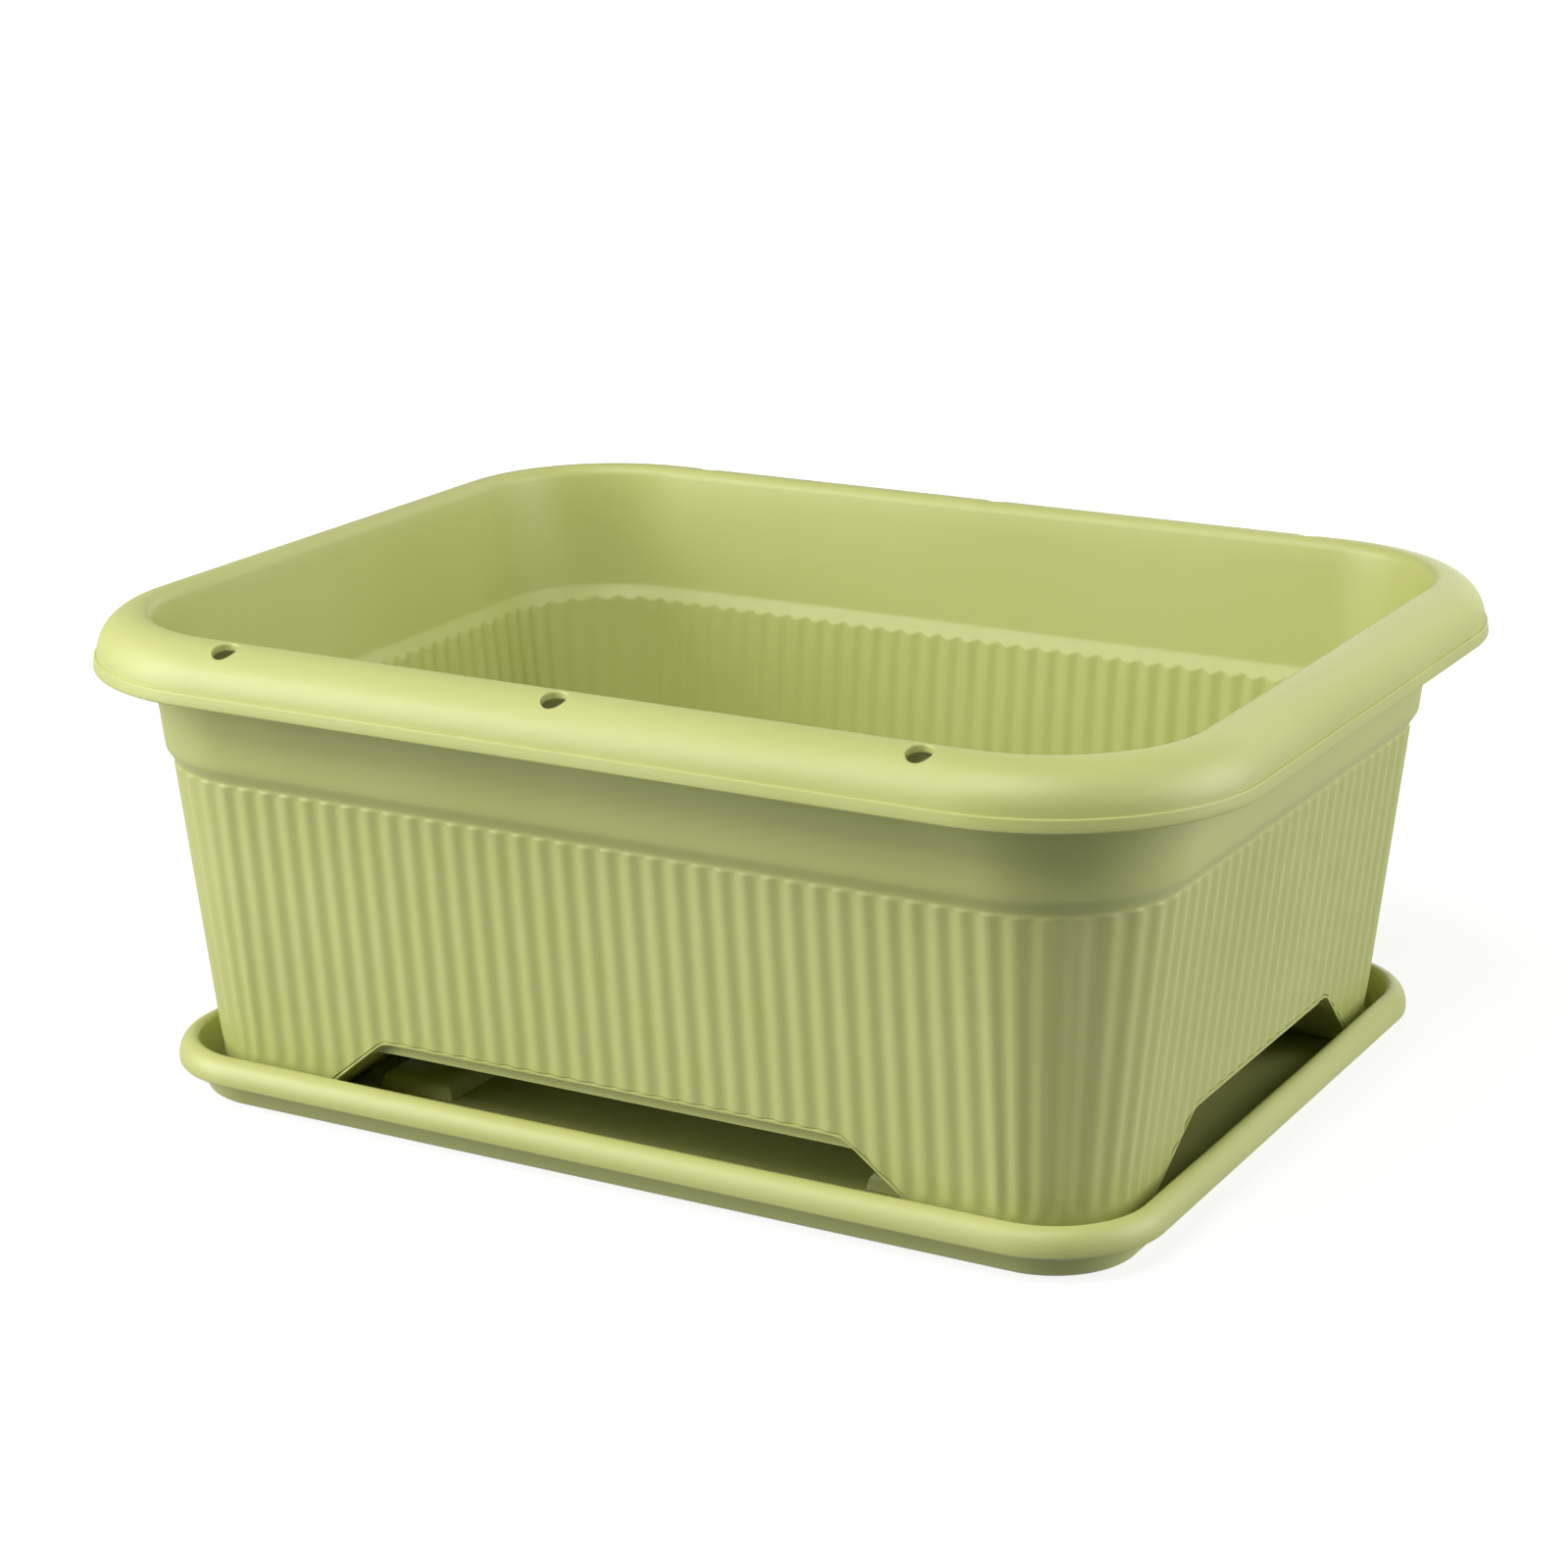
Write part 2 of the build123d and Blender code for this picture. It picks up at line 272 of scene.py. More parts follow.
class Surface:
    """Vertices in millimetres and faces, gathered from grids until they become one mesh."""

    def __init__(self):
        self.points = []
        self.faces = {3: [], 4: []}
        self.count = 0

    def add(self, x, y, z):
        """Adds an array of points and gives their numbers in the same arrangement."""
        x, y, z = np.broadcast_arrays(x, y, z)
        self.points.append(np.stack([x, y, z], -1).reshape(-1, 3))
        index = np.arange(x.size).reshape(x.shape) + self.count
        self.count += x.size
        return index

    def face(self, *corners):
        """Adds one face for each element of the corner arrays."""
        faces = np.stack([np.ravel(c) for c in corners], -1)
        self.faces[len(corners)].append(faces)

    def rows(self, index, keep=None):
        """Quads between neighbouring rows that each run once round the object."""
        following = np.roll(index, -1, axis=1)
        corners = [index[:-1], following[:-1], following[1:], index[1:]]
        if keep is not None:
            corners = [c[keep] for c in corners]
        self.face(*corners)

    def halve(self, fine, coarse, fine_first):
        """Joins a row to the next one, which has half as many points, with three triangles a step."""
        first, middle, last = fine[0::2], fine[1::2], np.roll(fine[0::2], -1)
        here, following = coarse, np.roll(coarse, -1)
        for corners in ((first, middle, here), (middle, following, here), (middle, last, following)):
            self.face(*(corners if fine_first else corners[::-1]))

    def zip(self, outer, outer_at, inner, inner_at, around, upward=True):
        """Joins two closed loops of different lengths by merging the positions of their points round the loop.

        Each step of a loop makes a triangle with the point that the other loop has reached.
        """
        outer, outer_at = sorted_loop(outer, outer_at % around)
        inner, inner_at = sorted_loop(inner, inner_at % around)
        outer_end = np.append(outer_at[1:], outer_at[0] + around)
        inner_end = np.append(inner_at[1:], inner_at[0] + around)
        reached_in = np.searchsorted(inner_end, outer_end, side="left") % len(inner)
        reached_out = np.searchsorted(outer_end, inner_end, side="right") % len(outer)
        following_out = np.roll(outer, -1)
        following_in = np.roll(inner, -1)
        triangles = np.concatenate([
            np.stack([outer, following_out, inner[reached_in]], -1),
            np.stack([outer[reached_out], following_in, inner], -1),
        ])
        distinct = (
            (triangles[:, 0] != triangles[:, 1])
            & (triangles[:, 1] != triangles[:, 2])
            & (triangles[:, 2] != triangles[:, 0])
        )
        triangles = triangles[distinct]
        self.faces[3].append(triangles if upward else triangles[:, ::-1])

    def to_object(self, name):
        """Makes the mesh and its object, with doubled points merged and flat slivers removed."""
        points = np.concatenate(self.points) * MM
        corners = [np.concatenate(self.faces[n]) for n in (3, 4) if self.faces[n]]
        loops = np.concatenate([c.ravel() for c in corners])
        totals = np.concatenate([np.full(len(c), c.shape[1]) for c in corners])
        mesh = bpy.data.meshes.new(name)
        mesh.vertices.add(len(points))
        mesh.vertices.foreach_set("co", points.ravel())
        mesh.loops.add(len(loops))
        mesh.loops.foreach_set("vertex_index", loops.astype(np.int32))
        mesh.polygons.add(len(totals))
        mesh.polygons.foreach_set("loop_start", np.concatenate([[0], np.cumsum(totals)[:-1]]).astype(np.int32))
        mesh.update(calc_edges=True)
        mesh.validate()
        shape = bmesh.new()
        shape.from_mesh(mesh)
        bmesh.ops.remove_doubles(shape, verts=shape.verts, dist=MERGE)
        bmesh.ops.dissolve_degenerate(shape, edges=shape.edges, dist=MERGE)
        shape.to_mesh(mesh)
        shape.free()
        mesh.polygons.foreach_set("use_smooth", np.ones(len(mesh.polygons), dtype=bool))
        mesh.set_sharp_from_angle(angle=SHARP_ANGLE)
        piece = bpy.data.objects.new(name, mesh)
        bpy.context.scene.collection.objects.link(piece)
        return piece


def sorted_loop(loop, position):
    """A loop's points in the order of their positions."""
    order = np.argsort(position, kind="stable")
    return np.asarray(loop)[order], np.asarray(position, float)[order]


def rounded_path(quarter, half_x, half_y):
    """Skeleton points and outward normals of a rounded rectangle, anticlockwise from the middle of the front.

    A point of any outline is its skeleton point plus the outline's corner radius times the normal. The position
    runs through four quarters, each with a straight, a corner of 90 degrees and a straight, and every second
    quarter is mirrored. quarter holds the lengths of the three stretches and the positions, in any unit.
    """
    front, corner, side, position = quarter
    whole = front + corner + side
    turn = np.floor(position / (2 * whole))
    count = position - turn * 2 * whole
    mirrored = count > whole
    count = np.where(mirrored, 2 * whole - count, count)
    half_turn = 1 - 2 * (turn % 2)
    angle = np.clip((count - front) / corner, 0, 1) * math.pi / 2
    x = half_x * np.clip(count / front, 0, 1)
    y = -half_y * np.clip((whole - count) / side, 0, 1)
    flip = np.where(mirrored, -1, 1)
    return SimpleNamespace(
        x=half_turn * x,
        y=half_turn * flip * y,
        normal_x=half_turn * np.sin(angle),
        normal_y=-half_turn * flip * np.cos(angle),
        at=position,
        quarter=(front, corner, side),
        around=4 * whole,
    )


def place(path, radius, height):
    """Coordinates of points that lie a radius outside the skeleton, at a height."""
    return path.x + path.normal_x * radius, path.y + path.normal_y * radius, height


class Tub:
    """The levels, insets and rib layout that follow from the tub's sizes."""

    def __init__(self, sizes):
        self.__dict__.update(vars(in_millimetres(sizes)))
        self.half_x = self.rim_length / 2 - self.rim_corner
        self.half_y = self.rim_depth / 2 - self.rim_corner
        self.lip_level = self.ridge_level - self.rim_height
        self.bead_level = self.lip_level + LIP_HEIGHT
        self.shoulder_level = self.ridge_level - self.shoulder_drop
        self.rib_end = self.foot_level + self.rib_clear
        self.notch_level = self.foot_level + self.notch_height
        self.channel_level = self.notch_level - NOTCH_LIP_DROP
        self.floor_level = self.channel_level + FLOOR_THICKNESS
        self.ledge_level = self.notch_level + FLOOR_THICKNESS
        self.pocket_level = self.foot_level + self.wall
        self.channel_wall = FLOOR_THICKNESS * math.sqrt(1 + NOTCH_SLANT**2)
        self.dome_inset = LIP_FLARE + LIP_LEDGE
        self.dome = (RIDGE_INSET - self.dome_inset, self.ridge_level - self.bead_level)
        self.hollow = (self.dome[0] - RIM_WALL, self.dome[1] - RIM_WALL)
        self.hollow_level = self.ridge_level - RIM_WALL
        round_end = self.ridge_level - RIDGE_ROUND * (1 - math.sin(DRAFT))
        inside_inset = RIDGE_INSET + RIDGE_ROUND * math.cos(DRAFT)
        self.ledge_top = self.shoulder_level + LEDGE_RISE
        self.ledge_inset = inside_inset + (round_end - self.ledge_top) * LEAN
        self.band_foot = self.shoulder_level + SHOULDER_RISE
        self.band_inset = self.ledge_inset - self.wall + (self.ledge_top - self.band_foot) * LEAN
        self.crest_inset = self.band_inset + SHOULDER_STEP + RIB_MARGIN
        self.ribbed_wall = self.rib_height + self.wall

    def columns(self, for_each_rib):
        """Path round the tub with a number of columns for each rib, and each column's rib number.

        Crests lie at whole numbers. The ribs stand a little wider apart round the corners.
        """
        quarter = RIB_NUMBERS[-1]
        number = np.arange(4 * quarter * for_each_rib) / for_each_rib
        whole, part = np.divmod(number, 2 * quarter)
        place_at = np.interp(quarter - np.abs(quarter - part), RIB_NUMBERS, RIB_PLACES)
        place_at = np.where(part > quarter, 2 * RIB_PLACES[-1] - place_at, place_at)
        path = rounded_path((*STRETCHES, place_at + whole * 2 * RIB_PLACES[-1]), self.half_x, self.half_y)
        path.rib = number
        return path

    def crest_at(self, height):
        """Inset of the rib crests at a height: the wall leans by its draft."""
        return self.crest_inset + (self.shoulder_level - height) * LEAN

    def band_at(self, height):
        """Inset of the smooth upper band's outside at a height."""
        return self.band_inset + (self.band_foot - height) * LEAN

    def from_notch(self, path):
        """Distance of each column past the top corner of its side's notch; corner columns are far past it."""
        front = np.abs(path.normal_x) < MERGE
        side = np.abs(path.normal_y) < MERGE
        past = np.full(len(path.at), self.rim_length)
        past = np.where(front, np.abs(path.x) - self.notch_front_half, past)
        return np.where(side, np.abs(path.y) - self.notch_side_half, past)

    def slope(self, past, top, bottom, softness=CORNER_SOFTNESS):
        """Height of a notch's edge: level at its top, then falling along the slant, then level at the bottom."""
        return np.maximum(soft_min(top, self.notch_level - past / NOTCH_SLANT, softness), bottom)

    def rounded_wall(self, height, offset, bottom, radius):
        """Inset of a leaning wall, set in by an offset from the crests, with a rounding to a level bottom."""
        middle = bottom + radius
        centre = self.crest_at(middle) + offset + radius / math.cos(DRAFT)
        fall = np.clip(middle - height, 0, radius)
        round_part = centre - np.sqrt(radius**2 - fall**2)
        return np.where(height < middle - radius * math.sin(DRAFT), round_part, self.crest_at(height) + offset)

    def outside(self, height, groove, edge):
        """Inset of the outer wall: ribs as bars that end under a plain strip and fade out above foot and notches.

        A rib is a cosine wave. Its top end is rounded, because its flanks end lower than its crest.
        """
        fade = smooth_step(RIB_FADE_LOW, RIB_FADE_HIGH, height - self.rib_end)
        fade = fade * smooth_step(NOTCH_STRIP_LOW, NOTCH_STRIP_HIGH, height - edge)
        end = self.shoulder_level + RIB_TOP - RIB_TOP_ROUND * groove
        ribbed = 1 - smooth_step(end - RIB_TOP_RAMP, end, height)
        ribs = self.rib_height * (STRIP_DEPTH + ribbed * (groove - STRIP_DEPTH)) - RIB_MARGIN
        return self.rounded_wall(height, RIB_MARGIN, self.foot_level, FOOT_ROUND) + fade * ribs

    def inside(self, height, groove):
        """Inset of the inner wall: upper band, then the sloping ledge, which the ribs' tops scallop."""
        fall = self.ledge_top - height
        upper = self.ledge_inset + soft_max(fall * LEAN, fall * LEDGE_SLOPE, 0.2)
        fade = smooth_step(self.ledge_level + 1.0, self.ledge_level + 7.0, height)
        offset = self.wall + self.rib_height / 2
        lower = self.rounded_wall(height, offset, self.pocket_level, POCKET_ROUND)
        lower = lower + fade * self.rib_height * (groove - 0.5)
        return soft_min(upper, lower, 0.1)


def squeezed(levels, start, end, above):
    """Heights that run from a column's own start to the common levels above a height, squeezed in between."""
    levels = np.asarray(levels, float)[:, None]
    return levels + (start - end) * np.clip((above - levels) / (above - end), 0, 1)


def tub_rim_section(tub):
    """Section (inset, height) of the shoulder, band, hollow, lip, dome, ridge and upper inside.

    The dome is a quarter ellipse on a narrow ledge above the lip, and the ridge a small arc down to the inside.
    """
    foot, lip, bead = tub.band_foot, tub.lip_level, tub.bead_level
    lip_round = 0.8
    bead_round = 0.4
    top_hollow = (tub.band_at(tub.hollow_level) - 1.0, tub.hollow_level - 1.0)
    gone = np.linspace(0, 1, 8)
    step_levels = tub.shoulder_level + STEP_FOOT + (STEP_HEAD - STEP_FOOT) * gone
    step = SHOULDER_STEP + RIB_MARGIN + (STRIP_DEPTH * tub.rib_height - RIB_MARGIN)
    step_share = 1 - 0.6 * gone - 0.4 * smooth_step(0, 1, gone)
    shoulder = np.stack([tub.band_at(step_levels) + step * step_share, step_levels], -1)
    band_levels = np.array([foot + 7.0, foot + 16.0, lip - 6.0, lip + 2.0, lip + 9.0, tub.hollow_level - 2.2])
    band = np.stack([tub.band_at(band_levels), band_levels], -1)
    outside = [
        shoulder,
        band,
        arc(top_hollow, (1.0, 1.0), 170, 100, 3),
    ]
    under = arc((RIDGE_INSET, bead), tub.hollow, 88, 4, 11)
    edge = [
        arc((RIM_WALL - lip_round, lip + lip_round), (lip_round, lip_round), 175, 270, 3),
        arc((lip_round + 0.1, lip + lip_round), (lip_round, lip_round), 285, 360, 3),
        np.array([(LIP_FLARE - 0.3, bead - 1.7), (LIP_FLARE - 0.24, bead - 1.0)]),
        arc((LIP_FLARE + bead_round - 0.2, bead - bead_round), (bead_round, bead_round), 15, 100, 4),
        np.array([(tub.dome_inset - 0.02, bead - 0.04), (tub.dome_inset, bead + 0.2)]),
    ]
    dome = arc((RIDGE_INSET, bead), tub.dome, 4, 90, 17)
    ridge = arc((RIDGE_INSET, tub.ridge_level - RIDGE_ROUND), (RIDGE_ROUND,) * 2, 104, 180 - math.degrees(DRAFT), 5)
    inside_levels = np.array([tub.ridge_level - 10, tub.ridge_level - 22, tub.ridge_level - 36])
    inside = np.stack([tub.inside(inside_levels, 0.5), inside_levels], -1)
    parts = {"outside": np.concatenate(outside), "under": under, "edge": np.concatenate(edge),
             "dome": dome, "ridge": ridge, "inside": inside}
    starts = np.cumsum([0] + [len(p) for p in parts.values()])
    return np.concatenate(list(parts.values())), dict(zip(parts, starts))


def make_tub(tub):
    """Surface of the tub: one section carried round the path, whose foot and floor follow the notches."""
    surface = Surface()
    fine = tub.columns(RIB_COLUMNS)
    rim_path = tub.columns(RIM_COLUMNS)
    groove = 0.5 - 0.5 * np.cos(2 * math.pi * fine.rib)
    past = tub.from_notch(fine)
    edge = tub.slope(past, tub.notch_level, tub.foot_level)
    under = tub.slope(past, tub.channel_level, tub.foot_level)
    ledge = tub.slope(past - tub.channel_wall, tub.ledge_level, tub.pocket_level)
    floor = tub.slope(past - tub.channel_wall, tub.floor_level, tub.pocket_level)

    # Underside of the foot, then the outside up to the shoulder, with a fine crease along the notches' edges
    edge_inset = tub.outside(edge, groove, edge)
    lip_inset = np.maximum(tub.crest_at(tub.notch_level) + NOTCH_LIP_DEPTH, edge_inset + 0.8)
    rounded = edge + 0.3 * EDGE_ROUND
    levels = tub.foot_level + np.array(OUTSIDE_ROWS)
    wall_height = squeezed(levels, edge, tub.foot_level, tub.foot_level + OUTSIDE_SQUEEZE)
    crease = CREASE_DEPTH * smooth_step(tub.foot_level + 2.0, tub.foot_level + 8.0, edge)
    crease = np.isclose(levels, tub.foot_level + CREASE_LEVEL)[:, None] * crease
    insets = np.concatenate([
        np.stack([np.full_like(past, RING_INSET), lip_inset, lip_inset, edge_inset + EDGE_ROUND]),
        tub.outside(rounded, groove, edge)[None] + 0.3 * EDGE_ROUND,
        tub.outside(wall_height, groove, edge) + crease,
    ])
    heights = np.concatenate([np.stack([under, under, edge, edge, rounded]), wall_height])
    outer = surface.add(*place(fine, tub.rim_corner - insets, heights))
    surface.rows(outer)

    # Rim, with half the columns and a gap round each support hole
    section, starts = tub_rim_section(tub)
    rim = surface.add(*place(rim_path, tub.rim_corner - section[:, :1], section[:, 1:]))
    surface.halve(outer[-1], rim[0], fine_first=True)
    keep = np.ones((len(rim) - 1, len(rim_path.at)), dtype=bool)
    for hole_x in np.array([-1, 0, 1]) * tub.cane_hole_spacing:
        for side in (-1, 1):
            add_cane_hole(surface, tub, rim_path, rim, section, starts, hole_x, side, keep)
    surface.rows(rim, keep)

    # Inside down to the ledge, the feet's hollows and the floor
    levels = np.concatenate([tub.ledge_top + np.array(INSIDE_ROWS), tub.pocket_level + np.array(HOLLOW_ROWS)])
    wall_height = squeezed(levels, ledge, tub.pocket_level, tub.pocket_level + INSIDE_SQUEEZE)
    inner_inset = tub.inside(wall_height, groove)
    well = tub.crest_at(tub.floor_level) + tub.ribbed_wall + NOTCH_LIP_DEPTH
    well_inset = np.maximum(well, inner_inset[-1] + 0.8)
    insets = np.concatenate([inner_inset, np.stack([well_inset, well_inset, np.full_like(past, RING_INSET)])])
    heights = np.concatenate([wall_height, np.stack([ledge, floor, floor])])
    inner = surface.add(*place(fine, tub.rim_corner - insets, heights))
    surface.halve(inner[0], rim[-1], fine_first=False)
    surface.rows(inner)

    add_tub_floor(surface, tub, fine, outer[0], inner[-1])
    return surface


def add_cane_hole(surface, tub, path, rim, section, starts, hole_x, side, keep):
    """Round hole through the dome: rings on the dome and on its underside, joined by a wall with softened edges.

    A ring's point at an angle lies a radius from the hole's middle along the rim and inwards, on the dome's
    ellipse or on that of its underside. The side is -1 at the front and 1 at the back.
    """
    reach = 3
    steps = 48
    straight = np.where(path.normal_y * side > 1 - MERGE)[0]
    middle = straight[np.argmin(np.abs(path.x[straight] - hole_x))]
    columns = (middle + np.arange(-reach, reach + 1)) % len(path.at)
    along_x = -side
    angle = np.arange(steps) * 2 * math.pi / steps

    def dome_height(inset):
        across = np.clip((RIDGE_INSET - inset) / tub.dome[0], 0, 1)
        return tub.bead_level + tub.dome[1] * np.sqrt(1 - across**2)

    def hollow_height(inset):
        across = np.clip((RIDGE_INSET - inset) / tub.hollow[0], 0, 1)
        return tub.bead_level + tub.hollow[1] * np.sqrt(1 - across**2)

    def ring(radius, surface_height, sunk=0.0):
        along = radius * np.cos(angle)
        inset = tub.cane_hole_inset + radius * np.sin(angle)
        x = hole_x + along_x * along
        y = side * (tub.half_y + tub.rim_corner - inset)
        return surface.add(x, y, surface_height(inset) - sunk)

    def boundary(first, last):
        """Loop of the rim's points round the gap, with their angles about the hole's middle."""
        span = np.arange(first, last + 1)
        rows = np.concatenate([np.full(len(columns) - 1, first), span[:-1],
                               np.full(len(columns) - 1, last), span[:0:-1]])
        cells = np.concatenate([columns[:-1], np.full(len(span) - 1, columns[-1]),
                                columns[:0:-1], np.full(len(span) - 1, columns[0])])
        along = (path.x[cells] - hole_x) * along_x
        position = np.arctan2(section[rows, 0] - tub.cane_hole_inset, along)
        return rim[rows, cells], position

    radius = tub.cane_hole_radius
    cut = CANE_HOLE_EDGE
    top_rings = np.stack([
        ring(radius + 1.2, dome_height),
        ring(radius + cut, dome_height),
        ring(radius + 0.35 * cut, dome_height, 0.12 * cut),
        ring(radius + 0.06 * cut, dome_height, 0.55 * cut),
        ring(radius, dome_height, 1.2 * cut),
    ])
    low_rings = np.stack([ring(radius, hollow_height, -0.2), ring(radius + 0.2, hollow_height)])
    inwards = np.concatenate([top_rings, low_rings])
    surface.rows(inwards)
    top_rows = (starts["dome"] + 6, starts["ridge"])
    low_rows = (starts["under"] - 1, starts["under"] + 10)
    for (first, last), loop, upward in ((top_rows, inwards[0], True), (low_rows, inwards[-1], False)):
        outline, position = boundary(first, last)
        surface.zip(outline, position, loop, angle, 2 * math.pi, upward)
        keep[first:last, columns[:-1]] = False


def add_tub_floor(surface, tub, path, under_ring, top_ring):
    """Middle of the floor, above and below: the greater of two channels' heights, pierced by the drain holes."""
    places = (np.arange(DRAINS_EACH_WAY) - (DRAINS_EACH_WAY - 1) / 2) * DRAIN_SPACING
    cells = np.concatenate([places - DRAIN_CELL, places + DRAIN_CELL])
    angle = np.arange(24) * math.pi / 12
    rings = []
    for spread, top, bottom, loop, upward in (
        (0.0, tub.channel_level, tub.foot_level, under_ring, False),
        (tub.channel_wall, tub.floor_level, tub.pocket_level, top_ring, True),
    ):
        creases = (tub.notch_level - np.array([top, bottom])) * NOTCH_SLANT + spread
        x_lines = floor_lines(tub.notch_front_half + creases, cells, tub.half_x)
        y_lines = floor_lines(tub.notch_side_half + creases, cells, tub.half_y)
        height_x = tub.slope(np.abs(x_lines) - tub.notch_front_half - spread, top, bottom, 0)
        height_y = tub.slope(np.abs(y_lines) - tub.notch_side_half - spread, top, bottom, 0)
        block = surface.add(x_lines, y_lines[:, None], np.maximum(height_x, height_y[:, None]))
        holes = [(np.searchsorted(y_lines, y - DRAIN_CELL), np.searchsorted(x_lines, x - DRAIN_CELL), x, y)
                 for x in places for y in places]
        keep = np.ones((len(y_lines) - 1, len(x_lines) - 1), dtype=bool)
        made = []
        for row, column, x, y in holes:
            keep[row, column] = False
            ring = surface.add(x + DRAIN_RADIUS * np.cos(angle), y + DRAIN_RADIUS * np.sin(angle), top)
            square = block[[row, row, row + 1, row + 1], [column, column + 1, column + 1, column]]
            corners = np.radians([-135, -45, 45, 135])
            surface.zip(square, corners, ring, angle, 2 * math.pi, upward)
            made.append(ring)
        rings.append(np.stack(made))
        add_block(surface, block, keep, upward)
        join_block(surface, path, block, x_lines, y_lines, loop, upward)
    low, high = rings
    surface.face(high, np.roll(high, -1, 1), np.roll(low, -1, 1), low)


def floor_lines(creases, cells, half):
    """Grid lines of a floor: its creases on both sides, the edges of the hole cells and the ends."""
    lines = np.concatenate([creases, -creases, cells, [half, -half]])
    return np.unique(np.round(lines, 6))


def add_block(surface, block, keep, upward):
    """Triangles of a grid, facing up or down: each cell is split along its diagonal towards the grid's middle."""
    row, column = np.nonzero(keep)
    turned = (row < keep.shape[0] / 2) != (column < keep.shape[1] / 2)
    cell = np.stack([block[:-1, :-1], block[:-1, 1:], block[1:, 1:], block[1:, :-1]])[:, keep]
    cell = np.where(turned, np.roll(cell, -1, axis=0), cell)
    first, second, third, fourth = cell if upward else cell[[0, 3, 2, 1]]
    surface.face(first, second, third)
    surface.face(first, third, fourth)


def join_block(surface, path, block, x_lines, y_lines, ring, upward):
    """Joins a floor's grid to the ring round it, by position along the path."""
    front, corner, side = path.quarter
    half_x, half_y = x_lines[-1], y_lines[-1]
    whole = front + corner + side
    along_x = x_lines / half_x * front
    along_y = y_lines / half_y * side
    loop = np.concatenate([block[0], block[:, -1], block[-1, ::-1], block[::-1, 0]])
    position = np.concatenate([along_x, whole + along_y, 2 * whole + along_x, 3 * whole + along_y])
    surface.zip(ring, path.at, loop, position, path.around, upward)


def make_saucer(saucer):
    """Surface of the saucer: one section carried round the path, and a floor with four angled pads."""
    surface = Surface()
    half_x = saucer.length / 2 - saucer.corner
    half_y = saucer.depth / 2 - saucer.corner
    quarter = (28.0, 20.0, 20.0)
    path = rounded_path((*quarter, np.arange(4 * sum(quarter))), half_x, half_y)

    inner_level = saucer.roll_top - ROLL_ROUND
    inner_inset = ROLL_RIDGE_INSET + ROLL_ROUND
    lean = (ROLL_REACH - inner_inset) / (inner_level - saucer.floor)
    wall_foot = ROLL_REACH - SAUCER_WALL
    base = wall_foot + saucer.floor * lean
    tilt = math.degrees(math.atan(lean))
    dome = (ROLL_RIDGE_INSET, saucer.roll_top - saucer.roll_shoulder)
    hollow_level = saucer.roll_top - SAUCER_WALL
    hollow = (dome[0] - SAUCER_WALL, dome[1] - SAUCER_WALL)
    edge_round = 0.8
    base_centre = (base + SAUCER_BASE_ROUND * (1 - lean) / math.cos(math.radians(tilt)), SAUCER_BASE_ROUND)
    floor_centre = (ROLL_REACH + SAUCER_FLOOR_ROUND * 0.75, saucer.floor + SAUCER_FLOOR_ROUND)
    section = np.concatenate([
        [(saucer.corner - 6.0, 0.0)],
        arc(base_centre, (SAUCER_BASE_ROUND,) * 2, -90, -tilt, 5),
        [(wall_foot - 2.0 * lean, saucer.floor + 2.0), (wall_foot - 6.0 * lean, saucer.floor + 6.0)],
        arc((ROLL_RIDGE_INSET - 0.25, hollow_level - 1.0), (1.0, 1.0), 165, 95, 3),
        arc((ROLL_RIDGE_INSET, saucer.roll_shoulder), hollow, 80, 0, 6),
        arc((SAUCER_WALL - edge_round, saucer.roll_edge + edge_round), (edge_round,) * 2, 180, 270, 3),
        arc((edge_round + 0.02, saucer.roll_edge + edge_round), (edge_round,) * 2, 285, 360, 3),
        arc((ROLL_RIDGE_INSET, saucer.roll_shoulder), dome, 4, 90, 14),
        arc((ROLL_RIDGE_INSET, inner_level), (ROLL_ROUND,) * 2, 105, 180 - tilt, 5),
        [(inner_inset + 0.4, inner_level - 2.5), (inner_inset + 1.7, inner_level - 6.0)],
        arc(floor_centre, (SAUCER_FLOOR_ROUND,) * 2, 180 + tilt, 270, 5) * (-1, 1) + (2 * floor_centre[0], 0),
        [(saucer.corner - 6.0, saucer.floor)],
    ])
    rows = surface.add(*place(path, saucer.corner - section[:, :1], section[:, 1:]))
    surface.rows(rows)

    # Underside and floor inside the section
    for ring, level, upward in ((rows[0], 0.0, False), (rows[-1], saucer.floor, True)):
        x_lines, y_lines, height = saucer_floor_grid(saucer, half_x, half_y, level, upward)
        block = surface.add(x_lines, y_lines[:, None], height)
        add_block(surface, block, np.ones((len(y_lines) - 1, len(x_lines) - 1), dtype=bool), upward)
        join_block(surface, path, block, x_lines, y_lines, ring, upward)
    return surface


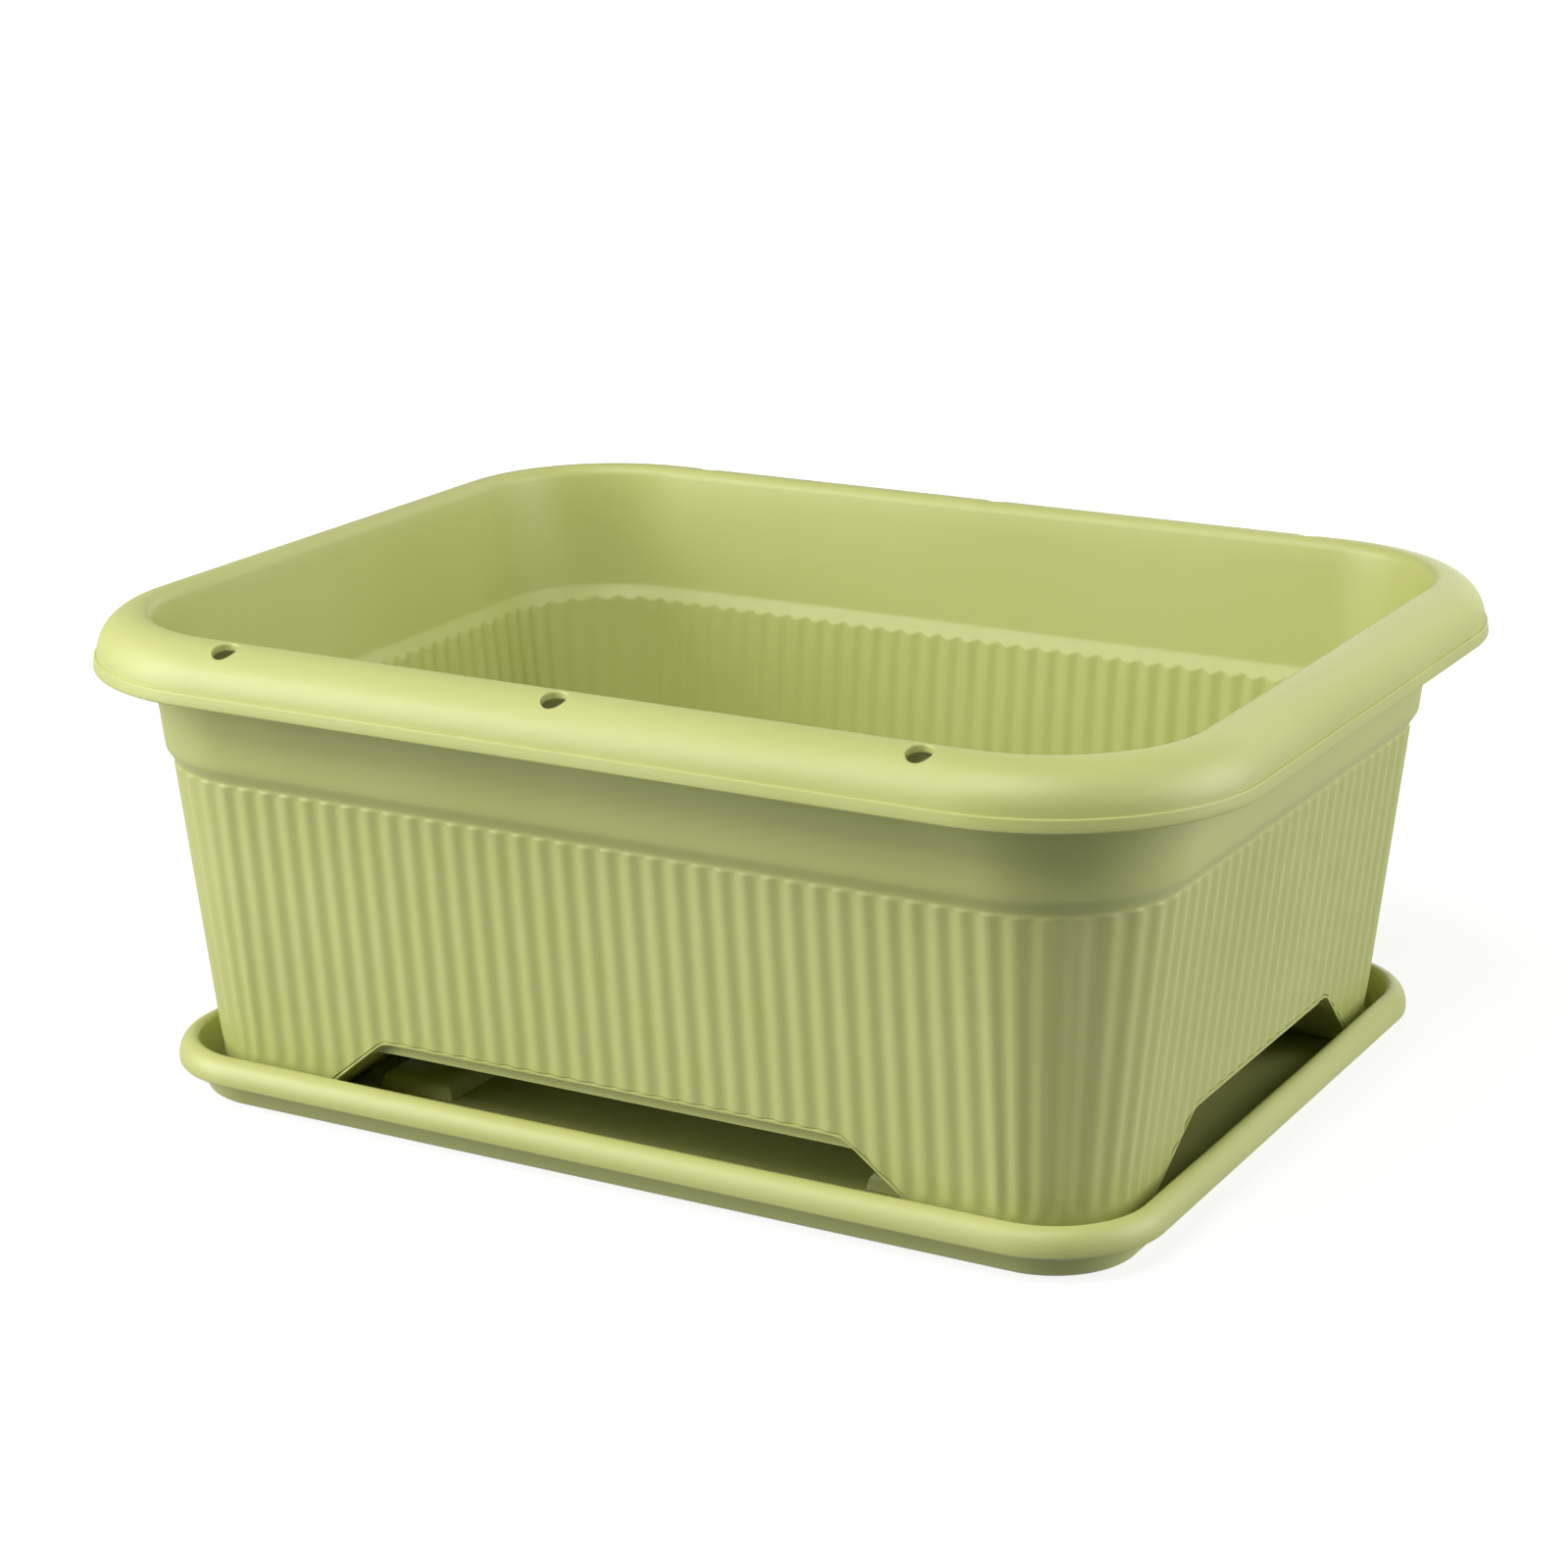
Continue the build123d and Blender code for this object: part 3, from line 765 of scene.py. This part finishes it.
def saucer_floor_grid(saucer, half_x, half_y, level, padded):
    """Grid lines and heights of the saucer's floor; each pad is the union of two rectangles with a rounded top."""
    steps = np.array([-0.6, 0.0, 0.15, 0.6, 1.4, 2.6, PAD_ROUND])
    half = saucer.pad_width / 2
    lines = []
    for middle, end in ((saucer.pad_x, half_x), (saucer.pad_y, half_y)):
        edges = np.concatenate([middle - half + steps, middle + half - steps, middle + saucer.pad_reach - steps])
        lines.append(np.unique(np.round(np.concatenate([edges, -edges, [end, -end, 0]]), 6)))
    x_lines, y_lines = lines
    if not padded:
        return x_lines, y_lines, np.full((len(y_lines), len(x_lines)), level)
    x, y = np.abs(x_lines), np.abs(y_lines)[:, None]

    def depth_in(low_x, high_x, low_y, high_y):
        return np.minimum(np.minimum(x - low_x, high_x - x), np.minimum(y - low_y, high_y - y))

    near_x, near_y = saucer.pad_x - half, saucer.pad_y - half
    depth = np.maximum(
        depth_in(near_x, saucer.pad_x + saucer.pad_reach, near_y, saucer.pad_y + half),
        depth_in(near_x, saucer.pad_x + half, near_y, saucer.pad_y + saucer.pad_reach),
    )
    into = np.clip(PAD_ROUND - depth, 0, PAD_ROUND)
    side = PAD_HEIGHT - PAD_ROUND
    height = np.where(depth < -1e-3, 0.0, side + np.sqrt(PAD_ROUND**2 - into**2))
    return x_lines, y_lines, level + height


def moulded_plastic(name, base, look):
    """Satin moulded plastic: soft colour drift, a fine grain and uneven gloss."""
    material = bpy.data.materials.new(name)
    material.use_nodes = True
    nodes, links = material.node_tree.nodes, material.node_tree.links
    shader = nodes["Principled BSDF"]
    place_in = nodes.new("ShaderNodeTexCoord")

    drift = nodes.new("ShaderNodeTexNoise")
    drift.inputs["Scale"].default_value = 9.0
    drift.inputs["Detail"].default_value = 3.0
    links.new(place_in.outputs["Object"], drift.inputs["Vector"])

    tint = nodes.new("ShaderNodeValToRGB")
    low, high = tint.color_ramp.elements
    low.position, high.position = 0.3, 0.7
    darker, lighter = 1 - look.clouding, 1 + look.clouding
    low.color = (base[0] * darker, base[1] * darker, base[2] * darker * 0.94, 1)
    high.color = (base[0] * lighter, base[1] * lighter, base[2] * lighter * 1.06, 1)
    links.new(drift.outputs["Fac"], tint.inputs["Fac"])
    links.new(tint.outputs["Color"], shader.inputs["Base Color"])

    grain = nodes.new("ShaderNodeTexNoise")
    grain.inputs["Scale"].default_value = 1400.0
    grain.inputs["Detail"].default_value = 2.0
    links.new(place_in.outputs["Object"], grain.inputs["Vector"])
    gloss = nodes.new("ShaderNodeMapRange")
    gloss.inputs["From Min"].default_value = 0.3
    gloss.inputs["From Max"].default_value = 0.7
    gloss.inputs["To Min"].default_value = look.roughness - 0.05
    gloss.inputs["To Max"].default_value = look.roughness + 0.07
    links.new(drift.outputs["Fac"], gloss.inputs["Value"])
    links.new(gloss.outputs["Result"], shader.inputs["Roughness"])

    bump = nodes.new("ShaderNodeBump")
    bump.inputs["Strength"].default_value = look.grain
    bump.inputs["Distance"].default_value = 0.0003
    links.new(grain.outputs["Fac"], bump.inputs["Height"])
    links.new(bump.outputs["Normal"], shader.inputs["Normal"])
    shader.inputs["Specular IOR Level"].default_value = 0.62
    shader.inputs["Subsurface Weight"].default_value = 0.06
    shader.inputs["Subsurface Radius"].default_value = (1.0, 0.9, 0.4)
    shader.inputs["Subsurface Scale"].default_value = 0.002
    return material


def finish_piece(piece, material, body, node):
    """Gives a piece its material, makes it ride on its body and stand for its CAD node."""
    piece.data.materials.append(material)
    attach(piece, body)
    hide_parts(node)


class PLANTER_OT_tub(bpy.types.Operator):
    """Build the ribbed tub"""

    bl_idname = "planter.tub"
    bl_label = "Tub"

    def execute(self, context):
        scene = context.scene
        tub = Tub(scene.planter_tub)
        piece = make_tub(tub).to_object("planter_tub")
        look = scene.planter_plastic
        finish_piece(piece, moulded_plastic("tub_moulding", look.tub_colour, look), "tub", "tub")
        return {"FINISHED"}


class PLANTER_OT_saucer(bpy.types.Operator):
    """Build the drip saucer"""

    bl_idname = "planter.saucer"
    bl_label = "Saucer"

    def execute(self, context):
        scene = context.scene
        piece = make_saucer(in_millimetres(scene.planter_saucer)).to_object("drip_saucer")
        look = scene.planter_plastic
        material = moulded_plastic("saucer_moulding", look.saucer_colour, look)
        finish_piece(piece, material, "saucer", "saucer")
        return {"FINISHED"}


def soft_box(name, watts, azimuth, elevation, distance=1.6, size=1.2):
    """A square soft light that faces the planter from an azimuth (from +X) and an elevation, in degrees."""
    light = bpy.data.lights.new(name, "AREA")
    light.energy = watts
    light.size = size
    lamp = bpy.data.objects.new(name, light)
    bpy.context.scene.collection.objects.link(lamp)
    turn, rise = math.radians(azimuth), math.radians(elevation)
    target = Vector((0.0, 0.0, 0.08))
    away = Vector((math.cos(turn) * math.cos(rise), math.sin(turn) * math.cos(rise), math.sin(rise)))
    lamp.location = target + distance * away
    lamp.rotation_euler = away.to_track_quat("Z", "Y").to_euler()
    lamp.visible_camera = False


def studio_floor(tint, glow):
    """A level pale floor, a wide round sheet: rings of growing radius round the planter's middle.

    The sheet glows, as a lit table does, more so away from the planter, and leaves the light that it throws up to
    the bounce light.
    """
    surface = Surface()
    angle = np.arange(64) * math.pi / 32
    radius = np.array(FLOOR_RINGS)[:, None]
    rings = surface.add(radius * np.cos(angle), radius * np.sin(angle), np.zeros_like(radius))
    surface.rows(rings)
    floor = surface.to_object("studio_floor")
    material = bpy.data.materials.new("studio_paper")
    material.use_nodes = True
    nodes, links = material.node_tree.nodes, material.node_tree.links
    shader = nodes["Principled BSDF"]
    place_in = nodes.new("ShaderNodeTexCoord")
    mottle = nodes.new("ShaderNodeTexNoise")
    mottle.inputs["Scale"].default_value = 3.0
    links.new(place_in.outputs["Object"], mottle.inputs["Vector"])
    ramp = nodes.new("ShaderNodeValToRGB")
    low, high = ramp.color_ramp.elements
    low.color = (*[c * 0.985 for c in tint], 1)
    high.color = (*tint, 1)
    links.new(mottle.outputs["Fac"], ramp.inputs["Fac"])
    links.new(ramp.outputs["Color"], shader.inputs["Base Color"])
    shader.inputs["Roughness"].default_value = 0.9
    shader.inputs["Specular IOR Level"].default_value = 0.1
    distance = nodes.new("ShaderNodeVectorMath")
    distance.operation = "LENGTH"
    links.new(place_in.outputs["Object"], distance.inputs[0])
    far_glow = nodes.new("ShaderNodeMapRange")
    far_glow.interpolation_type = "SMOOTHSTEP"
    far_glow.inputs["From Min"].default_value = GLOW_NEAR
    far_glow.inputs["From Max"].default_value = GLOW_FAR
    far_glow.inputs["To Min"].default_value = glow
    far_glow.inputs["To Max"].default_value = 1.0
    links.new(distance.outputs["Value"], far_glow.inputs["Value"])
    links.new(far_glow.outputs["Result"], shader.inputs["Emission Strength"])
    shader.inputs["Emission Color"].default_value = (1.0, 1.0, 1.0, 1.0)
    floor.data.materials.append(material)
    floor.visible_diffuse = floor.visible_glossy = floor.visible_shadow = False
    return floor


def even_light(scene, sky):
    """A white backdrop all round, which shows in the gloss at the strength of the sky and lights nothing else."""
    world = bpy.data.worlds.new("even_light")
    world.use_nodes = True
    scene.world = world
    world.cycles_visibility.diffuse = False
    nodes, links = world.node_tree.nodes, world.node_tree.links
    background = nodes["Background"]
    background.inputs["Color"].default_value = (1.0, 1.0, 1.0, 1.0)
    rays = nodes.new("ShaderNodeLightPath")
    strength = nodes.new("ShaderNodeMapRange")
    strength.inputs["To Min"].default_value = sky
    strength.inputs["To Max"].default_value = 1.0
    links.new(rays.outputs["Is Camera Ray"], strength.inputs["Value"])
    links.new(strength.outputs["Result"], background.inputs["Strength"])


class PLANTER_OT_studio(bpy.types.Operator):
    """Build the floor, the lights and the camera"""

    bl_idname = "planter.studio"
    bl_label = "Studio"

    def execute(self, context):
        scene = context.scene
        look = scene.planter_studio
        studio_floor(look.floor_colour, look.floor_glow)

        for name, setting, azimuth, elevation in SOFT_BOXES:
            soft_box(name, getattr(look, setting), azimuth, elevation)
        soft_box("bounce_light", look.bounce_power, 0, -90, distance=0.1, size=4.0)

        even_light(scene, look.sky)

        camera = bpy.data.cameras.new("photo_camera")
        camera.lens = look.lens
        camera.sensor_width = 36.0
        camera.sensor_fit = "AUTO"
        camera.clip_start, camera.clip_end = 0.01, 50.0
        holder = bpy.data.objects.new("photo_camera", camera)
        scene.collection.objects.link(holder)
        holder.matrix_world = camera_place(CAMERA_PLACE, *CAMERA_TURNS)
        scene.camera = holder
        scene.view_settings.view_transform = "Standard"
        return {"FINISHED"}


def camera_place(position, yaw, pitch, roll):
    """Camera matrix from its position, its heading from +Y, its tilt down and its roll, in degrees."""
    yaw, pitch, roll = (math.radians(a) for a in (yaw, pitch, roll))
    forward = Vector((-math.sin(yaw) * math.cos(pitch), math.cos(yaw) * math.cos(pitch), -math.sin(pitch)))
    right = Vector((math.cos(yaw), math.sin(yaw), 0.0))
    up = right.cross(forward)
    turned_right = right * math.cos(roll) + up * math.sin(roll)
    turned_up = up * math.cos(roll) - right * math.sin(roll)
    axes = Matrix((turned_right, turned_up, -forward)).transposed()
    return Matrix.Translation(position) @ axes.to_4x4()


class PLANTER_PT_panel(bpy.types.Panel):
    """Sidebar panel that lists the planter's pieces"""

    bl_idname = "PLANTER_PT_panel"
    bl_label = "Herb planter"
    bl_space_type = "VIEW_3D"
    bl_region_type = "UI"
    bl_category = "Planter"

    def draw(self, context):
        for operator in OPERATORS:
            self.layout.operator(operator.bl_idname)
        for group in GROUPS:
            box = self.layout.box()
            for name in GROUPS[group].__annotations__:
                box.prop(getattr(context.scene, group), name)


GROUPS = {
    "planter_tub": TubSizes,
    "planter_saucer": SaucerSizes,
    "planter_plastic": PlasticLook,
    "planter_studio": StudioLook,
}
OPERATORS = (PLANTER_OT_tub, PLANTER_OT_saucer, PLANTER_OT_studio)


def register():
    for cls in (*GROUPS.values(), *OPERATORS, PLANTER_PT_panel):
        bpy.utils.register_class(cls)
    for name, group in GROUPS.items():
        setattr(bpy.types.Scene, name, bpy.props.PointerProperty(type=group))


def unregister():
    for name in GROUPS:
        delattr(bpy.types.Scene, name)
    for cls in reversed((*GROUPS.values(), *OPERATORS, PLANTER_PT_panel)):
        bpy.utils.unregister_class(cls)


def main():
    """Builds the pieces in order."""
    register()
    bpy.ops.planter.tub()
    bpy.ops.planter.saucer()
    bpy.ops.planter.studio()


if __name__ == "__main__":
    main()
